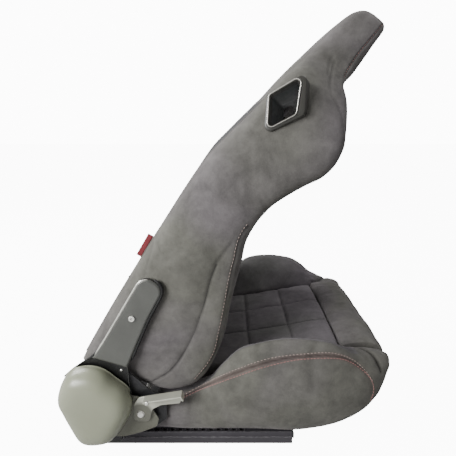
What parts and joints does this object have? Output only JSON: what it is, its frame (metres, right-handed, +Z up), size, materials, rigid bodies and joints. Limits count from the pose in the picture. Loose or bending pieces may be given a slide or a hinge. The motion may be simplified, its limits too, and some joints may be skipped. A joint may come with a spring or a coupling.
{
  "type": "racing seat",
  "caption": "Reclining bucket seat with harness slots, its backrest folded forward, on locking slide rails with a release lever at the hinge.",
  "frame": {"origin": "centre of the four floor bolts, on the underside of the rails", "axes": "+X forwards, +Y to the sitter's left, +Z up"},
  "size_m": [0.586, 0.584, 0.7962],
  "materials": {
    "rail_paint": "satin",
    "roller_steel": "ground",
    "cage_plastic": "matt",
    "frame_paint": "satin",
    "arm_paint": "satin",
    "lever_steel": "satin",
    "bright_steel": "plated",
    "cover_plastic": "fine grain",
    "bezel_plastic": "satin",
    "side_suede": "brushed",
    "centre_suede": "brushed",
    "back_cloth": "woven",
    "tag_cloth": "woven"
  },
  "bodies": {
    "floor_rails": {"lower_rail_right": "rail_paint", "lower_rail_left": "rail_paint"},
    "cage_right": {"roller_cage_right": "cage_plastic", "rail_rollers_right": "roller_steel"},
    "cage_left": {"roller_cage_left": "cage_plastic", "rail_rollers_left": "roller_steel"},
    "seat_base": {"upper_rail_right": "rail_paint", "upper_rail_left": "rail_paint", "side_tube_right": "frame_paint", "side_tube_left": "frame_paint", "front_riser_right": "frame_paint", "front_riser_left": "frame_paint", "recliner_base_right": "frame_paint", "recliner_base_left": "frame_paint", "lever_bracket_right": "lever_steel", "lever_bracket_left": "lever_steel", "recliner_cover_right": "cover_plastic", "recliner_cover_left": "cover_plastic", "pivot_bolt_right": "bright_steel", "pivot_bolt_left": "bright_steel", "recliner_spacers_right": "bright_steel", "recliner_spacers_left": "bright_steel", "pawl_pin_right": "bright_steel", "pawl_pin_left": "bright_steel", "recline_spring_right": "bright_steel", "recline_spring_left": "bright_steel", "cushion_bolster_right": "side_suede", "cushion_bolster_left": "side_suede", "rear_cross_tube": "frame_paint", "front_cross_tube": "frame_paint", "seat_pan": "frame_paint", "bar_lugs": "frame_paint", "bar_pivot_pins": "bright_steel", "seat_insert": "centre_suede", "cushion_front_roll": "centre_suede"},
    "release_bar": {"release_bar": "frame_paint", "latch_blades": "frame_paint"},
    "recline_lever": {"recline_lever": "lever_steel", "lever_shaft": "bright_steel", "lever_rivets": "bright_steel", "pawl_cams": "bright_steel"},
    "locking_pawl_right": {"locking_pawl_right": "bright_steel"},
    "locking_pawl_left": {"locking_pawl_left": "bright_steel"},
    "backrest": {"recliner_arm_right": "arm_paint", "recliner_arm_left": "arm_paint", "arm_screws": "bright_steel", "back_frame": "frame_paint", "back_wing_right": "side_suede", "back_wing_left": "side_suede", "back_centre_pad": "centre_suede", "back_panel": "back_cloth", "head_pad": "side_suede", "slot_bezel_right": "bezel_plastic", "slot_bezel_left": "bezel_plastic", "rear_tag": "tag_cloth"}
  },
  "joints": [
    {"name": "seat_slide", "type": "slide", "parent": "floor_rails", "child": "seat_base", "axis": [1, 0, 0], "range_m": [-0.09, 0.09]},
    {"name": "cage_roll_right", "type": "slide", "parent": "floor_rails", "child": "cage_right", "axis": [1, 0, 0], "range_m": [-0.046, 0.046]},
    {"name": "cage_roll_left", "type": "slide", "parent": "floor_rails", "child": "cage_left", "axis": [1, 0, 0], "range_m": [-0.046, 0.046]},
    {"name": "recline", "type": "hinge", "parent": "seat_base", "child": "backrest", "pos_m": [-0.177, 0, 0.133], "axis": [0, 1, 0], "range_deg": [-105, 0], "stiffness_Nm_per_rad": 8, "springref_deg": 17.19},
    {"name": "lever_lift", "type": "hinge", "parent": "seat_base", "child": "recline_lever", "pos_m": [-0.099, 0, 0.106], "axis": [0, -1, 0], "range_deg": [0, 14], "stiffness_Nm_per_rad": 6, "springref_deg": -14.32},
    {"name": "pawl_right", "type": "hinge", "parent": "seat_base", "child": "locking_pawl_right", "pos_m": [-0.117, -0.248, 0.076], "axis": [0, 1, 0], "range_deg": [0, 8.1]},
    {"name": "pawl_left", "type": "hinge", "parent": "seat_base", "child": "locking_pawl_left", "pos_m": [-0.117, 0.248, 0.076], "axis": [0, 1, 0], "range_deg": [0, 8.1]},
    {"name": "slide_bar_lift", "type": "hinge", "parent": "seat_base", "child": "release_bar", "pos_m": [0.02, 0, 0.025], "axis": [0, -1, 0], "range_deg": [0, 3], "stiffness_Nm_per_rad": 20, "springref_deg": -11.46}
  ],
  "couplings": [
    {"joint": "cage_roll_right", "follows": "seat_slide", "ratio": 0.5},
    {"joint": "cage_roll_left", "follows": "seat_slide", "ratio": 0.5},
    {"joint": "pawl_right", "follows": "lever_lift", "ratio": 0.571},
    {"joint": "pawl_left", "follows": "lever_lift", "ratio": 0.571}
  ]
}
